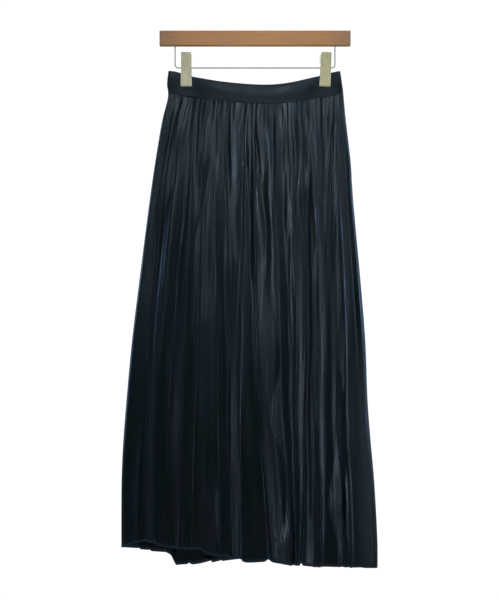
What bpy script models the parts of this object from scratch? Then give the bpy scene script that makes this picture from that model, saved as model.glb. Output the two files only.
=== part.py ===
"""A pleated velour maxi skirt hanging from a wooden bar hanger by two clips.

Metres, +Z up. +X is the viewer's right and the skirt's front faces -Y.
The origin is the middle of the hanger bar's flat top.

Each cloth piece is a wall of real thickness, lofted through rows of points. A row follows the
skirt's plan at one height: two rounded side folds with a shallow bulge between them, and knife
pleats on that bulge. A pleat has a crest, which stands out, and a valley, which tucks in behind it.
"""

import math
from collections import namedtuple

import bmesh
import bpy

# ---------------------------------------------------------------- sizes of the skirt

PLEATS = 36  # on the front, and again on the back
CLOTH_WALL = 0.0010
BAND_WALL = 0.0020
SEAM_GAP = 0.0003
PLEAT_DEPTH_AT_WAIST = 0.0018  # from a pleat's crest to the valley behind it
PLEAT_DEPTH_AT_HEM = 0.0042
TUCK = 0.09  # how far a valley lies behind its own crest, as a share of the pitch
HEM_UNEVEN = 0.0012  # how far one pleat hangs lower or higher than the hem's line
SHARPEST = 0.22  # keeps the corner of a wall from running out to a spike
BULGE_POWER = 2.6

# The skirt's side outline as it hangs: height, left edge and right edge.
Outline = namedtuple("Outline", "z left right")
OUTLINE = (
    Outline(-0.074, -0.1603, 0.1577),
    Outline(-0.098, -0.1629, 0.1612),
    Outline(-0.113, -0.1610, 0.1633),
    Outline(-0.128, -0.1622, 0.1647),
    Outline(-0.165, -0.1716, 0.1683),
    Outline(-0.239, -0.1842, 0.1768),
    Outline(-0.313, -0.1949, 0.1818),
    Outline(-0.461, -0.2139, 0.1951),
    Outline(-0.572, -0.2275, 0.2040),
    Outline(-0.683, -0.2378, 0.2083),
    Outline(-0.757, -0.2436, 0.2138),
    Outline(-0.831, -0.2469, 0.2204),
    Outline(-0.942, -0.2474, 0.2265),
    Outline(-0.994, -0.2472, 0.2269),
)

# How far the front and the back stand from the middle plane, at the middle and at the side folds.
Depth = namedtuple("Depth", "z middle side")
DEPTHS = (
    Depth(-0.074, 0.0052, 0.0034),
    Depth(-0.100, 0.0074, 0.0038),
    Depth(-0.135, 0.0120, 0.0044),
    Depth(-0.200, 0.0160, 0.0052),
    Depth(-0.350, 0.0205, 0.0062),
    Depth(-0.600, 0.0250, 0.0075),
    Depth(-0.850, 0.0280, 0.0085),
    Depth(-0.994, 0.0290, 0.0090),
)

# The waistband sags between the clips: place across, top edge and lower edge.
BandEdge = namedtuple("BandEdge", "x top bottom")
BAND_EDGES = (
    BandEdge(-0.163, -0.0738, -0.1125),
    BandEdge(-0.156, -0.0742, -0.1150),
    BandEdge(-0.148, -0.0752, -0.1172),
    BandEdge(-0.139, -0.0775, -0.1190),
    BandEdge(-0.128, -0.0810, -0.1209),
    BandEdge(-0.113, -0.0851, -0.1232),
    BandEdge(-0.060, -0.0945, -0.1303),
    BandEdge(0.015, -0.1003, -0.1354),
    BandEdge(0.062, -0.0967, -0.1322),
    BandEdge(0.116, -0.0840, -0.1241),
    BandEdge(0.132, -0.0796, -0.1214),
    BandEdge(0.142, -0.0771, -0.1194),
    BandEdge(0.151, -0.0751, -0.1170),
    BandEdge(0.158, -0.0741, -0.1146),
    BandEdge(0.164, -0.0735, -0.1120),
)
BAND_COLUMNS = 48  # along the front, and again along the back
BAND_ROWS = (0.0, 0.5, 1.0)

# The main folds, ridge and valley by turns. A row is the pleat it starts at, counted from the left,
# its place across at knee height and at the hem as a share of the skirt's width there, and how far
# it stands out, in metres, under the waistband, at the knee and at the hem.
Fold = namedtuple("Fold", "pleat knee hem waist_out knee_out hem_out")
FRONT_FOLDS = (
    Fold(0.0, 0.000, 0.000, 0.0000, 0.0000, 0.0000),
    Fold(1.6, 0.078, 0.092, -0.0006, -0.0010, -0.0012),
    Fold(3.4, 0.128, 0.150, 0.0012, 0.0020, 0.0016),
    Fold(5.8, 0.172, 0.205, -0.0010, -0.0018, -0.0022),
    Fold(7.7, 0.219, 0.252, 0.0010, 0.0024, 0.0016),
    Fold(9.5, 0.284, 0.298, -0.0010, -0.0020, -0.0024),
    Fold(10.9, 0.353, 0.373, 0.0010, 0.0018, 0.0022),
    Fold(12.4, 0.409, 0.419, -0.0010, -0.0016, -0.0016),
    Fold(14.5, 0.461, 0.494, 0.0018, 0.0022, 0.0030),
    Fold(16.4, 0.513, 0.579, -0.0022, -0.0052, -0.0052),
    Fold(20.1, 0.612, 0.640, 0.0018, 0.0040, 0.0046),
    Fold(23.1, 0.660, 0.668, -0.0004, 0.0008, 0.0012),
    Fold(25.8, 0.699, 0.689, 0.0014, 0.0030, 0.0020),
    Fold(28.2, 0.751, 0.711, -0.0024, -0.0056, -0.0050),
    Fold(30.4, 0.794, 0.760, 0.0014, 0.0040, 0.0036),
    Fold(32.3, 0.845, 0.800, -0.0012, -0.0044, -0.0034),
    Fold(33.8, 0.905, 0.875, 0.0010, 0.0030, 0.0030),
    Fold(35.0, 0.955, 0.935, 0.0000, -0.0012, -0.0014),
    Fold(36.0, 1.000, 1.000, 0.0000, 0.0000, 0.0000),
)
BACK_FOLDS = (
    Fold(0.0, 0.000, 0.000, 0.0000, 0.0000, 0.0000),
    Fold(1.8, 0.060, 0.066, 0.0006, 0.0012, 0.0016),
    Fold(4.2, 0.126, 0.118, -0.0010, -0.0026, -0.0032),
    Fold(6.8, 0.196, 0.204, 0.0012, 0.0036, 0.0040),
    Fold(9.2, 0.262, 0.268, -0.0010, -0.0030, -0.0032),
    Fold(11.6, 0.330, 0.340, 0.0010, 0.0024, 0.0040),
    Fold(14.2, 0.392, 0.396, -0.0014, -0.0036, -0.0044),
    Fold(17.0, 0.470, 0.468, 0.0012, 0.0036, 0.0042),
    Fold(19.6, 0.540, 0.556, -0.0010, -0.0026, -0.0038),
    Fold(22.6, 0.618, 0.624, 0.0014, 0.0040, 0.0044),
    Fold(25.2, 0.698, 0.690, -0.0014, -0.0042, -0.0046),
    Fold(27.8, 0.766, 0.772, 0.0010, 0.0034, 0.0036),
    Fold(30.4, 0.838, 0.832, -0.0008, -0.0030, -0.0036),
    Fold(33.2, 0.918, 0.926, 0.0006, 0.0018, 0.0022),
    Fold(36.0, 1.000, 1.000, 0.0000, 0.0000, 0.0000),
)
WAIST_Z = -0.1277
KNEE_Z = -0.5346
HEM_Z = -0.9600

# The hem's height across the skirt. The back hangs lower than the front to the left of the middle,
# and one group of its pleats is hitched up at the left side.
Hem = namedtuple("Hem", "x z")
FRONT_HEM = (
    Hem(-0.2474, -0.9555),
    Hem(-0.2310, -0.9490),
    Hem(-0.2050, -0.9410),
    Hem(-0.1780, -0.9485),
    Hem(-0.1530, -0.9540),
    Hem(-0.1020, -0.9560),
    Hem(-0.0890, -0.9640),
    Hem(-0.0310, -0.9715),
    Hem(-0.0170, -0.9780),
    Hem(0.0200, -0.9785),
    Hem(0.0650, -0.9830),
    Hem(0.1020, -0.9870),
    Hem(0.1760, -0.9890),
    Hem(0.2269, -0.9925),
)
BACK_HEM = (
    Hem(-0.2474, -0.9555),
    Hem(-0.2130, -0.9604),
    Hem(-0.1660, -0.9676),
    Hem(-0.1565, -0.9740),
    Hem(-0.1490, -0.9915),
    Hem(-0.1020, -0.9890),
    Hem(-0.0540, -0.9830),
    Hem(0.0000, -0.9810),
    Hem(0.0830, -0.9840),
    Hem(0.1750, -0.9890),
    Hem(0.2269, -0.9925),
)

# Shares of the length at which a panel has a row of points. They are closer under the waistband.
PANEL_ROWS = (0.0, 0.03, 0.08, 0.15, 0.24, 0.34, 0.44, 0.54, 0.64, 0.74, 0.84, 0.93, 1.0)

# ---------------------------------------------------------------- sizes of the hanger

BAR_LENGTH = 0.353
BAR_HEIGHT = 0.028
BAR_DEPTH = 0.014
BAR_EDGE = 0.0012
WIRE_DIAMETER = 0.0022
WIRE_SPAN = 0.2956  # between the centres of its two uprights
WIRE_Z = -0.0683
WIRE_IN_BAR = 0.010
WIRE_BEND = 0.0060
RUNNING_GAP = 0.0003

PLATE_TOP_Z = -0.0403
PLATE_BOTTOM_Z = -0.1034
PLATE_TOP_WIDTH = 0.0185
PLATE_BOTTOM_WIDTH = 0.0205
PLATE_WALL = 0.0026
PLATE_EDGE = 0.0005
HANDLE_REACH = 0.0094  # inner face of a handle's tip, from the middle plane
JAW_START_Z = -0.0840
SPRING_WIRE = 0.0012
SPRING_RADIUS = 0.0039
SPRING_FROM = math.radians(160.0)  # where the coil starts, at the front and a little high
SPRING_TO = math.radians(1100.0)  # where it ends, at the back and a little high
SPRING_STEPS = 26
BARREL_LENGTH = 0.0150

# Where each clip is, how far its plates lean, and how far to the left its spring's front leg is.
Clip = namedtuple("Clip", "name x lean front_leg")
CLIPS = (
    Clip("left", -0.1271, 0.0, -0.0045),
    Clip("right", 0.1307, math.radians(2.8), -0.0106),
)
PINCH = 0.74  # share of the skirt's depth that a clip takes away
PINCH_REACH = 0.030
PINCH_FADES = (-0.105, -0.200)

# ---------------------------------------------------------------- looks of the plain solids

Finish = namedtuple("Finish", "colour roughness metallic")
FINISHES = {
    "pleated_velour": Finish((0.010, 0.016, 0.024, 1.0), 0.45, 0.0),
    "band_velour": Finish((0.012, 0.019, 0.027, 1.0), 0.60, 0.0),
    "bar_wood": Finish((0.400, 0.200, 0.080, 1.0), 0.45, 0.0),
    "bright_steel": Finish((0.600, 0.600, 0.600, 1.0), 0.25, 1.0),
    "clip_plastic": Finish((0.440, 0.430, 0.290, 1.0), 0.45, 0.0),
}


# ---------------------------------------------------------------- curves through tables


def eased(t):
    """0 to 1, slow at both ends."""
    t = min(1.0, max(0.0, t))
    return t * t * (3.0 - 2.0 * t)


def straight_through(at, places, values):
    """The value at a place on straight lines between the rows of a table."""
    if at <= places[0]:
        return values[0]
    for i in range(1, len(places)):
        if at <= places[i]:
            share = (at - places[i - 1]) / (places[i] - places[i - 1])
            return values[i - 1] + share * (values[i] - values[i - 1])
    return values[-1]


def smooth_through(at, places, values):
    """The value at a place on a smooth curve through the rows of a table."""
    if at <= places[0]:
        return values[0]
    if at >= places[-1]:
        return values[-1]
    i = max(n for n in range(len(places) - 1) if places[n] <= at)

    def slope(n):
        low, high = max(0, n - 1), min(len(places) - 1, n + 1)
        return (values[high] - values[low]) / (places[high] - places[low])

    width = places[i + 1] - places[i]
    t = (at - places[i]) / width
    rise = 3.0 * t * t - 2.0 * t**3
    return (
        values[i] * (1.0 - rise)
        + values[i + 1] * rise
        + width * slope(i) * (t**3 - 2.0 * t * t + t)
        + width * slope(i + 1) * (t**3 - t * t)
    )


def column(table, name, turn=1.0):
    """One named column of a table, times turn."""
    return [getattr(row, name) * turn for row in table]


DOWN = -1.0  # a table that runs down the skirt is read with its heights turned over
OUTLINE_DOWN = column(OUTLINE, "z", DOWN)
OUTLINE_LEFT = column(OUTLINE, "left")
OUTLINE_RIGHT = column(OUTLINE, "right")
DEPTH_DOWN = column(DEPTHS, "z", DOWN)
DEPTH_MIDDLE = column(DEPTHS, "middle")
DEPTH_SIDE = column(DEPTHS, "side")
BAND_X = column(BAND_EDGES, "x")
BAND_TOP = column(BAND_EDGES, "top")
BAND_BOTTOM = column(BAND_EDGES, "bottom")


def settled(height_from, start):
    """A height that depends on itself a little, found by trying it a few times."""
    height = start
    for _ in range(5):
        height = height_from(height)
    return height


def edges_at(z):
    """The skirt's left and right edge at a height."""
    return (
        smooth_through(-z, OUTLINE_DOWN, OUTLINE_LEFT),
        smooth_through(-z, OUTLINE_DOWN, OUTLINE_RIGHT),
    )


def band_top(x):
    return smooth_through(x, BAND_X, BAND_TOP)


def band_bottom(x):
    return smooth_through(x, BAND_X, BAND_BOTTOM)


def side_radius(z):
    return smooth_through(-z, DEPTH_DOWN, DEPTH_SIDE)


def pinch_at(x, z):
    """The share of the depth that the clips take away."""
    high, low = PINCH_FADES
    fade = 1.0 - eased((high - z) / (high - low))
    return sum(PINCH * fade * math.exp(-(((x - clip.x) / PINCH_REACH) ** 2)) for clip in CLIPS)


def stand_off(x, z):
    """How far the cloth's mean surface is from the middle plane, clear of the side folds."""
    left, right = edges_at(z)
    across = (2.0 * x - left - right) / (right - left)
    bulge = 1.0 - min(1.0, abs(across)) ** BULGE_POWER
    side = side_radius(z)
    middle = smooth_through(-z, DEPTH_DOWN, DEPTH_MIDDLE)
    return (side + (middle - side) * bulge) * (1.0 - pinch_at(x, z))


# ---------------------------------------------------------------- pleats


def scatter(number, salt):
    """An uneven but fixed value from -1 to 1 for a numbered thing."""
    wave = math.sin(number * 12.9898 + salt * 78.233) * 43758.5453
    return 2.0 * (wave - math.floor(wave)) - 1.0


def through_heights(z, waist, knee, hem):
    """A value that is given at the waist, the knee and the hem, at any height."""
    v = (WAIST_Z - z) / (WAIST_Z - HEM_Z)
    k = (WAIST_Z - KNEE_Z) / (WAIST_Z - HEM_Z)
    at_waist = waist * (v - k) * (v - 1.0) / k
    at_knee = knee * v * (v - 1.0) / (k * (k - 1.0))
    at_hem = hem * v * (v - k) / (1.0 - k)
    return at_waist + at_knee + at_hem


class Panel:
    """The front or the back of the skirt: its folds, its hem and the side it is on."""

    def __init__(self, folds, hem, facing, salt):
        self.facing = facing
        self.salt = salt
        self.pleat = column(folds, "pleat")
        self.knee = column(folds, "knee")
        self.hem = column(folds, "hem")
        self.outs = [column(folds, name) for name in ("waist_out", "knee_out", "hem_out")]
        self.hem_x = column(hem, "x")
        self.hem_z = column(hem, "z")

    def across(self, pleat, z):
        """The place across of a pleat's line at a height; pleat counts from the left."""
        left, right = edges_at(z)
        knee = smooth_through(pleat, self.pleat, self.knee)
        hem = smooth_through(pleat, self.pleat, self.hem)
        share = through_heights(z, pleat / PLEATS, knee, hem)
        return left + (right - left) * share

    def fold_out(self, pleat, z):
        """How far the main folds push the cloth out there."""
        return through_heights(z, *(smooth_through(pleat, self.pleat, out) for out in self.outs))

    def near_side(self, number):
        """Pleats close up towards the side folds: 1 clear of them and 0 on them."""
        return min(1.0, min(number, PLEATS - number) / 4.0)

    def depth(self, number, length_share):
        """From a pleat's crest to its valley."""
        grown = PLEAT_DEPTH_AT_HEM - PLEAT_DEPTH_AT_WAIST
        full = PLEAT_DEPTH_AT_WAIST + grown * eased(length_share)
        return full * self.near_side(number) * self.looseness(number, length_share)

    def wander(self, number, length_share):
        """How far a pleat's line strays sideways, as a share of the pitch."""
        turns = 0.8 + 0.3 * scatter(number, self.salt + 1)
        start = scatter(number, self.salt + 2)
        strays = 0.10 * math.sin(2.0 * math.pi * (turns * length_share + start))
        uneven = 0.16 * scatter(number, self.salt + 4)
        return (uneven + strays * eased(length_share * 4.0)) * self.near_side(number)

    def looseness(self, number, length_share):
        """How much deeper or shallower than its neighbours a pleat is, there."""
        turns = 0.7 + 0.4 * scatter(number, self.salt + 5)
        start = scatter(number, self.salt + 6)
        swell = math.sin(2.0 * math.pi * (turns * length_share + start))
        return 0.90 + 0.20 * scatter(number, self.salt) + 0.30 * swell

    def height(self, place_at, length_share, hem_drop=0.0):
        """The height of a point on a line down the skirt; place_at gives its place at a height."""
        top = settled(lambda z: band_bottom(place_at(z)) - SEAM_GAP, WAIST_Z)
        hem = settled(lambda z: straight_through(place_at(z), self.hem_x, self.hem_z), HEM_Z)
        return top + (hem + hem_drop - top) * length_share

    def point(self, number, is_crest, length_share):
        """A point on the crest or the valley line of a numbered pleat."""
        uneven = (TUCK + 0.04 * scatter(number, self.salt + 3)) * self.near_side(number)
        place = number + self.wander(number, length_share) - (0.0 if is_crest else uneven)
        hem_drop = HEM_UNEVEN * scatter(number, self.salt + 7) * self.near_side(number)
        z = self.height(lambda height: self.across(place, height), length_share, hem_drop)
        x = self.across(place, z)
        half = 0.5 * self.depth(number, length_share)
        out = self.fold_out(place, z) + (half if is_crest else -half)
        return x, self.facing * (stand_off(x, z) + out), z

    def side_point(self, side, turned, length_share):
        """A point on a rounded side fold; turned goes from 0 at the seam to 1 where it ends."""
        angle = turned * math.pi / 2.0

        def radius(z):
            return side_radius(z) - CLOTH_WALL / 2.0

        def place_at(z):
            inwards = CLOTH_WALL / 2.0 + radius(z) * (1.0 - math.cos(angle))
            return edges_at(z)[side] + (inwards if side == 0 else -inwards)

        z = self.height(place_at, length_share)
        y = max(SEAM_GAP / 2.0, radius(z) * math.sin(angle))
        return place_at(z), self.facing * y, z


FRONT = Panel(FRONT_FOLDS, FRONT_HEM, -1.0, 1)
BACK = Panel(BACK_FOLDS, BACK_HEM, 1.0, 11)

# ---------------------------------------------------------------- walls


def offset_in_plan(points, distance, closed, end_normal=None):
    """The points moved sideways in plan, to the right of the way they run, with mitred corners."""
    count = len(points)
    normals = []
    for i in range(count if closed else count - 1):
        ax, ay, _ = points[i]
        bx, by, _ = points[(i + 1) % count]
        length = math.hypot(bx - ax, by - ay)
        normals.append(((by - ay) / length, (ax - bx) / length))
    moved = []
    for i, (x, y, z) in enumerate(points):
        if closed:
            before, after = normals[i - 1], normals[i]
        elif i == 0:
            before = after = end_normal[0]
        elif i == count - 1:
            before = after = end_normal[1]
        else:
            before, after = normals[i - 1], normals[i]
        along = max(SHARPEST, 1.0 + before[0] * after[0] + before[1] * after[1])
        moved.append(
            (
                x + distance * (before[0] + after[0]) / along,
                y + distance * (before[1] + after[1]) / along,
                z,
            )
        )
    return moved


def wall_object(name, rows, follows, wall, closed, finish, end_normal=None):
    """A closed wall of even thickness whose middle runs through the rows.

    follows says, for each row, how closely its points keep to the slope of the waistband's edge
    when they move across, so that the edges that are sewn together stay parallel.
    """
    mesh = bmesh.new()
    skins = []
    for distance in (wall / 2.0, -wall / 2.0):
        skin = []
        for row, follow in zip(rows, follows):
            ring = []
            for before, after in zip(row, offset_in_plan(row, distance, closed, end_normal)):
                drop = band_bottom(after[0]) - band_bottom(before[0])
                ring.append(mesh.verts.new((after[0], after[1], after[2] + follow * drop)))
            skin.append(ring)
        skins.append(skin)
    count = len(rows[0])
    spans = [(i, (i + 1) % count) for i in range(count if closed else count - 1)]
    outer, inner = skins
    for skin in skins:
        for upper, lower in zip(skin, skin[1:]):
            for a, b in spans:
                mesh.faces.new((upper[a], upper[b], lower[b], lower[a]))
    for end in (0, -1):
        for a, b in spans:
            mesh.faces.new((outer[end][a], outer[end][b], inner[end][b], inner[end][a]))
    if not closed:
        for side in (0, -1):
            for n in range(len(rows) - 1):
                mesh.faces.new(
                    (outer[n][side], outer[n + 1][side], inner[n + 1][side], inner[n][side])
                )
    bmesh.ops.recalc_face_normals(mesh, faces=mesh.faces)
    return finished_object(name, mesh, finish)


def finished_object(name, mesh, finish):
    """A mesh under construction made into an object with its finish."""
    data = bpy.data.meshes.new(name)
    mesh.to_mesh(data)
    mesh.free()
    made = bpy.data.objects.new(name, data)
    bpy.context.scene.collection.objects.link(made)
    data.materials.append(finish_named(finish))
    return made


def finish_named(name):
    """The material of that name, made once."""
    if name in bpy.data.materials:
        return bpy.data.materials[name]
    finish = FINISHES[name]
    material = bpy.data.materials.new(name)
    material.use_nodes = True
    shader = material.node_tree.nodes["Principled BSDF"]
    shader.inputs["Base Color"].default_value = finish.colour
    shader.inputs["Roughness"].default_value = finish.roughness
    shader.inputs["Metallic"].default_value = finish.metallic
    material.diffuse_color = finish.colour
    return material


# ---------------------------------------------------------------- the skirt's pieces


def make_panel(name, panel):
    """The front or the back: a rounded side fold, the pleats, and the other side fold."""
    rows = []
    turns = (0.0, 0.5, 1.0)
    for share in PANEL_ROWS:
        row = [panel.side_point(0, turned, share) for turned in turns]
        for number in range(1, PLEATS):
            row.append(panel.point(number, True, share))
            row.append(panel.point(number, False, share))
        row += [panel.side_point(1, turned, share) for turned in reversed(turns)]
        rows.append(row)
    end_normal = ((-1.0, 0.0), (1.0, 0.0)) if panel.facing < 0 else ((1.0, 0.0), (-1.0, 0.0))
    follows = [1.0 - share for share in PANEL_ROWS]
    wall_object(name, rows, follows, CLOTH_WALL, False, "pleated_velour", end_normal)


def band_ring_point(turn, share):
    """A point of the waistband's middle. turn goes once round from the left fold by the front."""
    facing = -1.0 if turn < 1.0 else 1.0
    across = -math.cos(math.pi * (turn if turn < 1.0 else 2.0 - turn))

    def place_at(z):
        left, right = edges_at(z)
        return (left + right) / 2.0 + across * ((right - left) / 2.0 - BAND_WALL / 2.0)

    def height_at(z):
        x = place_at(z)
        return band_top(x) + (band_bottom(x) - band_top(x)) * share

    z = settled(height_at, WAIST_Z)
    x = place_at(z)
    left, right = edges_at(z)
    from_end = min(x - left, right - x) - BAND_WALL / 2.0
    radius = side_radius(z) - BAND_WALL / 2.0
    if from_end < radius:
        return x, facing * math.sqrt(max(0.0, radius**2 - (radius - from_end) ** 2)), z
    return x, facing * stand_off(x, z) * (1.0 - radius_step(x, z)), z


def radius_step(x, z):
    """Takes half the band's wall off its stand-off beside the side folds, where it starts."""
    left, right = edges_at(z)
    from_end = min(x - left, right - x)
    return (BAND_WALL / 2.0 / side_radius(z)) * (1.0 - eased((from_end - side_radius(z)) / 0.03))


def make_waistband():
    """One strip sewn into a ring, flattened by the clips and sagging between them."""
    rows = []
    count = 2 * BAND_COLUMNS
    for share in BAND_ROWS:
        rows.append([band_ring_point(2.0 * n / count, share) for n in range(count)])
    wall_object("waistband", rows, [1.0] * len(rows), BAND_WALL, True, "band_velour")


def band_reach(clip):
    """The furthest that the waistband's outside is from the middle plane between a clip's jaws."""
    reach = 0.0
    steps = 8
    for i in range(steps + 1):
        x = clip.x + PLATE_BOTTOM_WIDTH * (i / steps - 0.5) * 1.2
        for j in range(steps + 1):
            z = band_top(x) + (PLATE_BOTTOM_Z - band_top(x)) * j / steps
            reach = max(reach, stand_off(x, z))
    return reach + BAND_WALL / 2.0


# ---------------------------------------------------------------- the hanger's pieces


def make_bar():
    """The wooden bar, with two blind holes underneath for the wire."""
    mesh = bmesh.new()
    bmesh.ops.create_cube(mesh, size=1.0)
    for vert in mesh.verts:
        vert.co.x *= BAR_LENGTH
        vert.co.y *= BAR_DEPTH
        vert.co.z = vert.co.z * BAR_HEIGHT - BAR_HEIGHT / 2.0
    bar = finished_object("hanger_bar", mesh, "bar_wood")
    rounding = bar.modifiers.new("rounded_edges", "BEVEL")
    rounding.width = BAR_EDGE
    rounding.segments = 2
    for side, name in ((-1.0, "left_hole"), (1.0, "right_hole")):
        hole = round_bar(name, WIRE_DIAMETER / 2.0 + RUNNING_GAP, 2.0 * WIRE_IN_BAR, 12)
        hole.location = (side * WIRE_SPAN / 2.0, 0.0, -BAR_HEIGHT)
        hole.hide_render = True
        hole.display_type = "WIRE"
        drilled = bar.modifiers.new(name, "BOOLEAN")
        drilled.operation = "DIFFERENCE"
        drilled.object = hole


def round_bar(name, radius, length, sides):
    """An upright cylinder centred on its own origin."""
    mesh = bmesh.new()
    bmesh.ops.create_cone(
        mesh, cap_ends=True, segments=sides, radius1=radius, radius2=radius, depth=length
    )
    return finished_object(name, mesh, "bright_steel")


def make_tube(name, points, diameter, resolution):
    """A round wire along a list of points."""
    curve = bpy.data.curves.new(name, "CURVE")
    curve.dimensions = "3D"
    curve.bevel_depth = diameter / 2.0
    curve.bevel_resolution = resolution
    curve.use_fill_caps = True
    line = curve.splines.new("POLY")
    line.points.add(len(points) - 1)
    for point, place in zip(line.points, points):
        point.co = (*place, 1.0)
    curve.materials.append(finish_named("bright_steel"))
    made = bpy.data.objects.new(name, curve)
    bpy.context.scene.collection.objects.link(made)
    return made


def make_wire():
    """Down from the bar, round two bends and straight across under it."""
    half = WIRE_SPAN / 2.0
    top = -BAR_HEIGHT + WIRE_IN_BAR - RUNNING_GAP
    steps = 5
    bend = []
    for n in range(steps + 1):
        angle = math.pi / 2.0 * n / steps
        x = half - WIRE_BEND + WIRE_BEND * math.cos(angle)
        bend.append((x, 0.0, WIRE_Z + WIRE_BEND - WIRE_BEND * math.sin(angle)))
    right = [(half, 0.0, top), *bend]
    left = [(-x, y, z) for x, y, z in right]
    make_tube("hanger_wire", left + right[::-1], WIRE_DIAMETER, 2)


def plate_outline(jaw_face):
    """A clip plate from the side, as (distance from the middle plane, height) corners."""
    at_pivot = SPRING_RADIUS + SPRING_WIRE / 2.0 + RUNNING_GAP
    lip = 0.0012
    return (
        (HANDLE_REACH, PLATE_TOP_Z),
        (at_pivot, WIRE_Z),
        (jaw_face, JAW_START_Z),
        (jaw_face, PLATE_BOTTOM_Z),
        (jaw_face + PLATE_WALL, PLATE_BOTTOM_Z),
        (jaw_face + PLATE_WALL + lip, PLATE_BOTTOM_Z + 2.0 * lip),
        (jaw_face + PLATE_WALL + lip, JAW_START_Z),
        (at_pivot + PLATE_WALL, WIRE_Z),
        (HANDLE_REACH + PLATE_WALL, PLATE_TOP_Z),
    )


def make_plate(name, clip, facing, pivot):
    """One plate of a clip, hung on the clip's pivot, which leans it."""
    mesh = bmesh.new()
    sides = []
    for hand in (-1.0, 1.0):
        ring = []
        for reach, z in plate_outline(band_reach(clip) + SEAM_GAP):
            share = (PLATE_TOP_Z - z) / (PLATE_TOP_Z - PLATE_BOTTOM_Z)
            width = PLATE_TOP_WIDTH + (PLATE_BOTTOM_WIDTH - PLATE_TOP_WIDTH) * share
            ring.append(mesh.verts.new((hand * width / 2.0, facing * reach, z - WIRE_Z)))
        sides.append(ring)
        mesh.faces.new(ring)
    count = len(sides[0])
    for i in range(count):
        j = (i + 1) % count
        mesh.faces.new((sides[0][i], sides[0][j], sides[1][j], sides[1][i]))
    bmesh.ops.recalc_face_normals(mesh, faces=mesh.faces)
    plate = finished_object(name, mesh, "clip_plastic")
    plate.parent = pivot
    rounding = plate.modifiers.new("rounded_edges", "BEVEL")
    rounding.width = PLATE_EDGE
    rounding.segments = 1


def make_barrel(name, clip):
    """The short tube between the plates that rides on the wire."""
    outside = SPRING_RADIUS - SPRING_WIRE / 2.0 - RUNNING_GAP
    bore = WIRE_DIAMETER / 2.0 + RUNNING_GAP
    barrel = round_bar(name, outside, BARREL_LENGTH, 16)
    cutter = round_bar(name + "_bore", bore, 2.0 * BARREL_LENGTH, 12)
    cutter.hide_render = True
    cutter.display_type = "WIRE"
    for piece in (barrel, cutter):
        piece.location = (clip.x, 0.0, WIRE_Z)
        piece.rotation_euler = (0.0, math.pi / 2.0, 0.0)
    bored = barrel.modifiers.new("bore", "BOOLEAN")
    bored.operation = "DIFFERENCE"
    bored.object = cutter


def handle_inside(z):
    """A handle's inner face from the middle plane, above the pivot."""
    at_pivot = SPRING_RADIUS + SPRING_WIRE / 2.0 + RUNNING_GAP
    return at_pivot + (HANDLE_REACH - at_pivot) * (z - WIRE_Z) / (PLATE_TOP_Z - WIRE_Z)


def make_spring(name, clip):
    """A coil round the barrel, with a leg up behind each plate's handle."""
    turns = (SPRING_TO - SPRING_FROM) / (2.0 * math.pi)
    half = turns * (SPRING_WIRE + RUNNING_GAP) / 2.0
    leg_top = WIRE_Z + 0.0240
    leg_foot = WIRE_Z + 0.0095

    def leg(x, facing, z):
        return (clip.x + x, facing * (handle_inside(z) - SPRING_WIRE / 2.0 - RUNNING_GAP), z)

    points = [leg(clip.front_leg, -1.0, leg_top), leg(clip.front_leg, -1.0, leg_foot)]
    for n in range(SPRING_STEPS + 1):
        angle = SPRING_FROM + (SPRING_TO - SPRING_FROM) * n / SPRING_STEPS
        x = clip.x - half + 2.0 * half * n / SPRING_STEPS
        points.append((x, SPRING_RADIUS * math.cos(angle), WIRE_Z + SPRING_RADIUS * math.sin(angle)))
    points += [leg(half, 1.0, leg_foot), leg(half, 1.0, leg_top)]
    make_tube(name, points, SPRING_WIRE, 1)


def make_clip(clip):
    """Two plates, the barrel that they rock on and the spring between them."""
    pivot = bpy.data.objects.new("clip_" + clip.name + "_pivot", None)
    pivot.location = (clip.x, 0.0, WIRE_Z)
    pivot.rotation_euler = (0.0, clip.lean, 0.0)
    bpy.context.scene.collection.objects.link(pivot)
    make_plate("clip_" + clip.name + "_front", clip, -1.0, pivot)
    make_plate("clip_" + clip.name + "_back", clip, 1.0, pivot)
    make_barrel("clip_" + clip.name + "_barrel", clip)
    make_spring("clip_" + clip.name + "_spring", clip)


def main():
    for old in list(bpy.data.objects):
        bpy.data.objects.remove(old)
    make_panel("front_panel", FRONT)
    make_panel("back_panel", BACK)
    make_waistband()
    make_bar()
    make_wire()
    for clip in CLIPS:
        make_clip(clip)


main()
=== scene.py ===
"""A dark navy velour maxi skirt, finely pleated, hanging from a wooden bar hanger by two clips.

Laid out as an add-on: sizes and colours are properties, each piece has its operator, and a panel
in the 3D view's sidebar lists them. Run as a script, it builds everything in order.
Metres, +Z up; the skirt's front faces -Y; the origin is the middle of the bar's flat top.
"""

import math
from collections import namedtuple

import bmesh
import bpy
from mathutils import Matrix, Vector, noise


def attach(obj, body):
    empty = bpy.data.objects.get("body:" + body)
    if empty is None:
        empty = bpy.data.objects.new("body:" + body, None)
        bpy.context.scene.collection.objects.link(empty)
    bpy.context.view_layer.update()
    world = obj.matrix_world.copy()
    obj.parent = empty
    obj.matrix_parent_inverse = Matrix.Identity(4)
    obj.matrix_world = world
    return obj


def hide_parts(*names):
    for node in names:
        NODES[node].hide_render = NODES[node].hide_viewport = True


bl_info = {
    "name": "Pleated maxi skirt on a hanger",
    "version": (1, 0, 0),
    "blender": (4, 5, 0),
    "location": "View3D > Sidebar > Skirt",
    "description": "Builds a pleated velour maxi skirt and the clip hanger that it hangs from",
    "category": "Object",
}

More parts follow.
